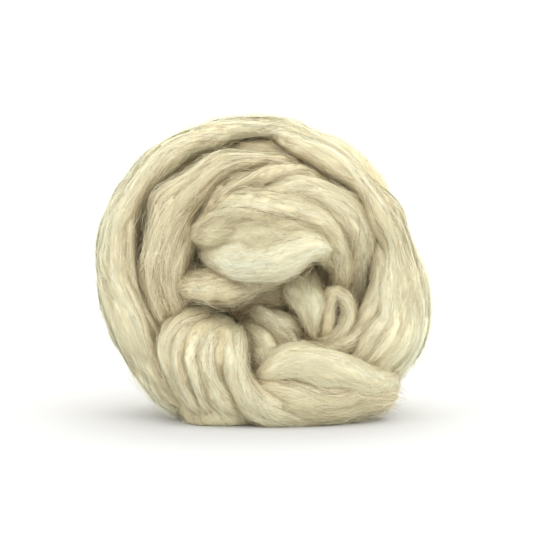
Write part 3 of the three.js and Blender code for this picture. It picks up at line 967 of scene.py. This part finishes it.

# The stretches that are placed one by one, their rows as x, y, z, half width and half thickness in mm
# Their tones are partly the silk's own and partly painted light and shade: darker where a stretch lies in
# shade, paler where it is lit
PLACED_STRETCHES = (
    Stretch("outer_wrap", Region.WRAPS, deep=1.7, rows=(
        (-20, -26, 7, 13, 8), (-43, -31, 12.5, 14, 8), (-55, -33, 22.5, 14, 8),
        (-66.5, -34, 43.5, 14, 9), (-73.5, -34, 65.5, 12.5, 9), (-76, -33, 83.5, 10, 9),
        (-74, -32, 101.5, 10, 9), (-63.5, -32, 121.5, 9.5, 8), (-46.5, -30, 138, 8.5, 7),
        (-28, -26, 146.5, 7.5, 6.5), (-12, -23, 150, 5.5, 6), (1, -23, 150, 5, 6),
        (9, -26, 148.5, 5.5, 6), (15, -31, 145.5, 7.5, 6.5), (22, -36, 141, 9, 6.5),
        (32, -40, 135.5, 9, 6.5), (43, -43, 128, 8, 7), (51, -45, 120.5, 7, 7),
        (57, -46, 112.5, 7, 7), (62, -45, 103.5, 7, 7.5), (67, -42, 92, 9.5, 8.5),
        (69.5, -39, 78, 14, 9), (70.5, -37, 65, 17.5, 9), (70, -37, 51, 21, 9.5),
        (63, -37, 38, 23, 10), (52, -35, 26, 19, 9), (38, -29, 16.5, 14, 8),
        (20, -18, 9, 11, 7),
    )),
    Stretch("wrap_strand", Region.WRAPS, rows=(
        (-60, -34, 124, 2.5, 2.5), (-66.5, -37, 110, 3, 3), (-68.5, -38.5, 92, 3.2, 3.2),
        (-67.5, -39, 78, 3.4, 3.4), (-64.5, -39.5, 65, 3.6, 3.6), (-60, -40, 54.5, 3.6, 3.6),
        (-54.5, -39, 46, 3.2, 3), (-48, -36, 38, 3, 3),
    )),
    # Its darker tone is painted shade, as it lies in the shade of the outer wrap
    Stretch("second_wrap", Region.CROWN, pivot=(-40, 25, 90), tone=-0.14, rows=(
        (-48, -34, 48, 8, 6), (-49.5, -39, 56, 10, 7), (-50, -42, 67.5, 12, 8.5),
        (-49.5, -44, 82.5, 13, 9.5), (-48.3, -45, 98.5, 13.5, 10), (-44.8, -45, 109, 13, 10),
        (-38.5, -45.5, 117.5, 11.5, 9.5), (-29.5, -46, 125.5, 9.5, 9), (-19, -46, 131, 7.5, 8),
        (-8, -45, 133, 5.5, 7), (4, -42, 132.5, 4.5, 6), (15, -38, 129.5, 4.5, 5.5),
        (27, -31, 124, 4, 5),
    )),
    # Its darker tone is painted shade for the trough that it lies in
    Stretch("crown_bed", Region.CROWN, layers=1.2, tone=-0.12, rows=(
        (-12, -18, 139, 5, 5), (2, -23, 139, 6, 6), (14, -26.5, 136.5, 7.5, 7),
        (26, -29, 130.5, 9.5, 9), (40, -31, 121, 10.5, 9), (53, -30, 104, 10, 9),
        (61, -27, 86, 9, 8.5), (64, -25, 68, 8.5, 8), (63, -22, 52, 6, 6),
    )),
    Stretch("first_arc", Region.CROWN, tone=-0.14, tuck_shade_reach=40.0, rows=(
        (-34.5, -37, 88, 4, 4), (-32, -42.5, 95, 5, 6), (-28.5, -46.5, 103, 5.5, 7),
        (-23, -49, 110.5, 6, 7.5), (-14.5, -50.5, 118, 6.5, 8), (-4, -51.5, 123.5, 6.5, 8),
        (7, -50.5, 126.5, 6, 7), (19, -47, 125.5, 5.5, 6.5), (30, -42, 120.5, 5, 6),
    )),
    Stretch("dome_band", Region.CROWN, tone=0.05, lay=Lay.LOOSE, rows=(
        (-10, -48, 110.5, 4, 5), (2, -54, 117, 7, 7), (15, -55, 119, 8, 8),
        (28, -53, 116, 9, 8), (38, -50, 110.5, 10, 9), (45, -45, 102.5, 10.5, 9),
        (48.5, -39, 93, 10.5, 9), (49.5, -33, 82, 10.5, 8.5), (49, -29, 70, 10, 8),
        (46, -27, 58, 9, 7), (40, -27, 49, 7, 6),
    )),
    Stretch("swirl_bed", Region.SWIRL, layers=1.2, rows=(
        (-25, -38, 91, 5, 6), (-20, -46, 97, 12, 10), (-4, -50, 103.5, 20, 11),
        (16, -50, 104.5, 20, 11), (33, -44, 95.5, 15, 10), (39, -37, 82, 9, 9),
        (40, -31, 70.5, 7, 7),
    )),
    Stretch("swirl_band", Region.SWIRL, lay=Lay.LOOSE, rows=(
        (-38, -36, 91, 5, 5), (-31.5, -47, 98, 7, 7), (-24, -52, 104.5, 8.5, 8),
        (-13, -56, 108.5, 10, 8), (-1, -59, 110.5, 10.5, 8), (11, -60, 110, 10.5, 8),
        (24, -58, 105, 10, 8), (33, -53, 97, 8, 8), (37, -47, 88.5, 7, 7),
        (38.5, -41, 79, 6, 6.5), (39, -36, 69, 6, 6), (37, -33, 59, 5, 5),
    )),
    Stretch("swirl_inner", Region.SWIRL, tone=0.02, lay=Lay.TOUSLED, rows=(
        (-36, -36, 92, 5, 5), (-29, -48, 94.5, 6.5, 7), (-23, -54.5, 96.5, 9, 8),
        (-14, -59, 99, 10.5, 8), (0, -61.5, 100.5, 10.5, 8), (13, -61.5, 100.5, 8.5, 7),
        (24, -58.5, 98, 6, 6), (31, -52, 94, 5, 5),
    )),
    # Its paler tone is painted light on the lip, the most lit crest
    Stretch("lip", Region.SWIRL, tone=0.17, lay=Lay.LOOSE, rows=(
        (-28, -47, 85.5, 4.5, 4.5), (-22.5, -56, 85.5, 9, 7), (-14, -61.5, 85.5, 12, 8),
        (-5, -64.5, 86.5, 13, 8.5), (4, -66, 88, 13, 8.5), (12, -66.5, 89.5, 11.5, 8),
        (19, -66, 91.5, 9.5, 7.5), (25, -63.5, 92, 7.5, 7), (29, -57, 90, 6, 6),
        (29, -50, 86, 3.5, 4),
    )),
    Stretch("swirl_veil", Region.SWIRL, tone=0.06, lay=Lay.TOUSLED, rows=(
        (-26, -51, 90, 5, 5), (-19, -57, 91.5, 8, 7), (-9, -61.5, 93, 10, 8),
        (2, -63.5, 94.5, 10.5, 8), (13, -64, 95, 9, 7.5), (22, -61.5, 94.5, 6.5, 6.5),
        (29, -55, 92, 4, 4),
    )),
    # Its darker tone is painted shade under the lip
    Stretch("pouch", Region.SWIRL, tone=-0.12, lay=Lay.LOOSE, rows=(
        (-42, -40, 74, 5, 5), (-34, -52, 71.5, 8, 7), (-26, -57, 70, 8.5, 8),
        (-18, -57, 70, 8, 7), (-10, -53, 71, 6.5, 6), (-2, -48, 72.5, 5, 5),
        (7, -45, 74, 4.5, 5), (15, -42, 77, 4.5, 5), (22, -39, 82, 3.5, 4),
    )),
    Stretch("front_bed", Region.FOLDS, layers=1.2, rows=(
        (-52, -26, 24.5, 15, 10), (-28, -32, 15.5, 18, 13), (0, -35, 13, 18, 14),
        (26, -35, 14, 18, 14), (50, -27, 20.5, 16, 11),
    )),
    Stretch("fan_bed", Region.FOLDS, pivot=FAN_HEART, layers=1.2, rows=(
        (-24, -24, 43, 12, 7), (-27, -37, 47.5, 16, 8.5), (-30.5, -48.5, 44.5, 19, 9.5),
        (-31, -52, 32.5, 20, 9), (-25, -50.5, 17.5, 19.5, 10), (-16.5, -45, 5.5, 21, 10),
        (-10, -30, 2.5, 16, 6),
    )),
    Stretch("fan_fold_1", Region.FOLDS, pivot=FAN_HEART, tone=0.03, rows=(
        (-22, -29, 48.5, 3.5, 4), (-32, -41, 55, 7, 5.5), (-42.5, -45, 51, 8.5, 6.5),
        (-47.5, -47.5, 40.5, 7, 7), (-44.5, -49, 27.5, 6.5, 6.5), (-38.5, -47.5, 14.5, 6.5, 6),
        (-32, -43, 4.5, 6.5, 5), (-26, -34, -1, 6, 4),
    )),
    Stretch("fan_fold_2", Region.FOLDS, **FAN_CREASES, rows=(
        (-20.5, -29, 46.5, 3.5, 4), (-29.5, -43, 51.5, 4.5, 4.5), (-38, -50, 47, 5, 5.5),
        (-42, -53.5, 37, 4.5, 6.5), (-40, -54.5, 25, 4.5, 6.5), (-35, -53, 13, 5, 5.5),
        (-28.5, -47, 4, 6, 4), (-23, -38, -2, 6, 4),
    )),
    Stretch("fan_fold_3", Region.FOLDS, **FAN_CREASES, rows=(
        (-19, -29, 45, 3.5, 4), (-26.5, -44, 49.5, 4.5, 4.5), (-33, -53, 45, 4.5, 5.5),
        (-35.5, -57, 35.5, 4, 6.5), (-33.5, -57.5, 24, 4, 6.5), (-28.5, -55.5, 12.5, 5, 5.5),
        (-22, -48, 3.5, 6, 4), (-17, -38, -2, 6, 4),
    )),
    Stretch("fan_fold_4", Region.FOLDS, **FAN_CREASES, rows=(
        (-17, -29, 44.5, 3.5, 4), (-21.5, -42, 47.5, 5, 4.5), (-25.5, -52, 44.5, 6, 5.5),
        (-27, -57.5, 35.5, 6.3, 7), (-25.5, -59, 24, 6, 7), (-20.5, -57, 12, 6.5, 6),
        (-13, -49.5, 3.5, 7, 4.5), (-8, -39, -2, 6, 4),
    )),
    Stretch("fan_fold_5", Region.FOLDS, **FAN_CREASES, rows=(
        (-12, -29, 43.5, 3.5, 4), (-13.5, -42, 46.5, 5, 4.5), (-14.5, -52, 43.5, 6.5, 5.5),
        (-14.5, -58, 34.5, 6.8, 7), (-12, -59.5, 22.5, 7.5, 7), (-5, -59, 13, 8.5, 7),
        (6, -57.5, 8, 9, 6.5), (20, -53, 5, 9, 6), (32, -46, 4, 7, 5),
    )),
    Stretch("base_fold", Region.FOLDS, tone=-0.08, rows=(
        (-14, -44, 26, 5, 5), (-6.5, -50, 20.5, 8.5, 7.5), (5, -54.5, 16.5, 12, 9),
        (20, -54, 13.5, 14.5, 10), (36, -49, 11.5, 14.5, 10), (50, -41, 11.5, 14, 9),
        (58, -28, 12, 12, 8), (56, -14, 13, 10, 7), (48, -2, 15, 7, 5),
    )),
    Stretch("lower_fold", Region.FOLDS, tone=0.06, lay=Lay.LOOSE, rows=(
        (-4, -51, 22, 4, 5), (4, -56, 26, 8, 8), (14, -57.5, 30, 11.5, 9),
        (26, -56, 29, 13.5, 9.5), (38, -52, 25, 13.5, 9), (50, -45, 19.5, 12.5, 9),
        (59, -33, 16.5, 12, 8), (61, -18, 17, 10, 7), (55, -3, 20, 7, 5),
    )),
    Stretch("valley_lock", Region.FOLDS, tone=0.12, lay=Lay.TOUSLED, rows=(
        (-7, -36, 48.5, 6, 4), (-4.5, -43, 43, 8, 5), (-0.5, -48.5, 36, 8.5, 5.5),
        (2, -51, 28, 7, 5),
    )),
    Stretch("inner_strip", Region.SWIRL, lay=Lay.LOOSE, rows=(
        (55, -32, 106, 4, 4), (58, -38, 94, 5, 5), (59.5, -42, 80, 5.5, 6),
        (58.5, -44, 68, 6, 6), (54, -45, 55, 6, 6), (47.5, -46, 45.5, 6, 6),
        (39, -47.5, 39.5, 5.5, 6), (29, -48, 36.5, 5, 5), (18, -46, 35.5, 4, 5),
        (10, -42, 38, 4, 4),
    )),
    Stretch("tongue", Region.SWIRL, tone=0.2, lay=Lay.TOUSLED, rows=(
        (19, -34, 79, 8, 5), (20, -44, 69.5, 9.3, 6), (22, -48, 62.5, 7.8, 6.5),
        (23.8, -48, 55.5, 5.8, 6), (24.5, -46, 48.5, 3.5, 5), (27, -40, 42, 3, 3),
    )),
    Stretch("eye_loop", Region.SWIRL, lay=Lay.LOOSE, rows=(
        (30, -41, 43, 3.5, 4), (31.5, -45, 48.5, 3.8, 4.5), (32, -46.5, 54.5, 3.9, 5),
        (32.5, -46, 61, 4.2, 5), (35.5, -45, 67, 4.6, 5), (40.5, -44.5, 64.5, 4.4, 5),
        (43, -45, 58.5, 3.7, 4.5), (42.5, -46, 52, 3.5, 4.5), (39.5, -46.5, 46.5, 3.4, 4.5),
        (34, -47, 42.5, 3.5, 4.5), (27, -46, 41, 3.5, 4), (21, -43, 42.5, 3, 3),
    )),
    # Its darker tone is painted shade for the hollow
    Stretch("hollow_wall", Region.SWIRL, tone=-0.15, lay=Lay.TOUSLED, rows=(
        (-14, -30, 58, 6, 5), (-4, -35, 63, 8.5, 6), (7, -37, 66.5, 9, 6),
        (17, -35, 70, 7, 5), (25, -31, 75, 5, 4),
    )),
    Stretch("hollow_hump", Region.SWIRL, tone=0.24, lay=Lay.TOUSLED, rows=(
        (-5, -29, 55, 4, 4), (0, -36, 52, 8, 6), (7, -41, 48.5, 10, 7),
        (15, -40, 45.5, 8, 6), (21, -35, 43, 5, 5),
    )),
    Stretch("hump_lock", Region.SWIRL, tone=0.28, lay=Lay.TOUSLED, rows=(
        (-7, -33, 58, 4, 2.5), (-2, -41.5, 54, 6.5, 2.5), (5, -46, 49.5, 7, 2.8),
        (11, -47, 43, 6.5, 2.5), (15, -46, 36, 4.5, 2.5),
    )),
    Stretch("back_tuck", Region.BACK, rows=(
        (-47, 35, 104, 9, 7), (-35, 47, 101, 12, 8), (-18, 55, 92, 13, 9),
        (-2, 58, 78, 13, 9), (8, 54, 62, 10, 8), (12, 44, 48, 8, 7),
    )),
)


@dataclass(frozen=True)
class Studio:
    """A pale floor, soft light from above and all round, and a camera in front."""

    distance: float = 1.35
    elevation: float = 4.0
    aim: tuple[float, float, float] = (0.0013, 0.0, 0.0772)
    frame_width: float = 0.28
    sky: float = 1.2
    key: float = 1.05
    back: float = 1.5
    left: float = 1.05
    right: float = 1.4

    def build(self) -> None:
        """Build the floor, the lights and the camera."""
        self.floor()
        self.lights()
        self.camera()
        bpy.context.scene.view_settings.view_transform = "Standard"

    def floor(self) -> None:
        """Lay a matt white floor that fills the view."""
        reach = 30.0
        mesh = bpy.data.meshes.new("studio_floor")
        corners = [(-reach, -reach, 0), (reach, -reach, 0), (reach, reach, 0), (-reach, reach, 0)]
        mesh.from_pydata(corners, [], [(0, 1, 2, 3)])
        material = bpy.data.materials.new("matt white paint")
        material.use_nodes = True
        shader = material.node_tree.nodes["Principled BSDF"]
        shader.inputs["Base Color"].default_value = linear("#c8c8c7")
        shader.inputs["Roughness"].default_value = 0.9
        shader.inputs["Specular IOR Level"].default_value = 0.0
        mesh.materials.append(material)
        floor = bpy.data.objects.new("studio_floor", mesh)
        bpy.context.scene.collection.objects.link(floor)

    def lights(self) -> None:
        """Light the scene as a white tent does: a pale surround, broad panels and a bright back."""
        world = bpy.data.worlds.new("white surround")
        bpy.context.scene.world = world
        world.use_nodes = True
        background = world.node_tree.nodes["Background"]
        background.inputs["Color"].default_value = (1.0, 1.0, 1.0, 1.0)
        background.inputs["Strength"].default_value = self.sky
        for name, place, spread, strength in (
            ("front diffuser", (0.2, -0.85, 0.5), 50, self.key),
            ("backdrop glow", (0.1, 0.9, 0.75), 60, self.back),
            ("left panel", (-1.0, -0.15, 0.45), 90, self.left),
            ("right panel", (1.0, -0.15, 0.45), 90, self.right),
        ):
            light = bpy.data.lights.new(name, "SUN")
            light.angle = math.radians(spread)
            light.energy = strength
            lamp = bpy.data.objects.new(name, light)
            lamp.location = place
            lamp.rotation_euler = (-lamp.location).to_track_quat("-Z", "Y").to_euler()
            bpy.context.scene.collection.objects.link(lamp)

    def camera(self) -> None:
        """Place the camera in front, a little above the ball's middle."""
        tilt = math.radians(self.elevation)
        data = bpy.data.cameras.new("camera")
        data.sensor_width = 36.0
        data.lens = data.sensor_width * self.distance / self.frame_width
        camera = bpy.data.objects.new("camera", data)
        aim = Vector(self.aim)
        camera.location = aim + self.distance * Vector((0, -math.cos(tilt), math.sin(tilt)))
        camera.rotation_euler = (aim - camera.location).to_track_quat("-Z", "Y").to_euler()
        bpy.context.scene.collection.objects.link(camera)
        bpy.context.scene.camera = camera


def main() -> None:
    """Build the ball and the studio, and report each piece."""
    logging.basicConfig(level=logging.INFO, format="%(message)s")
    silk = SilkFinish("combed tussah silk", "#7c602d", "#dacfa9", "#eaf2e0", 0.38)
    packed = replace(silk, name="packed tussah silk", roughness=0.6)
    # Darker colours for the deep middle: painted shade at the bottom of the hollows
    deep = SilkFinish("shaded tussah silk", "#3a3018", "#75653c", "#8f7f56", 0.7)
    for piece in RovingBall(silk, packed, deep).build():
        LOG.info("%s: %d faces", piece.name, len(piece.data.polygons))
    Studio().build()


if __name__ == "__main__":
    main()
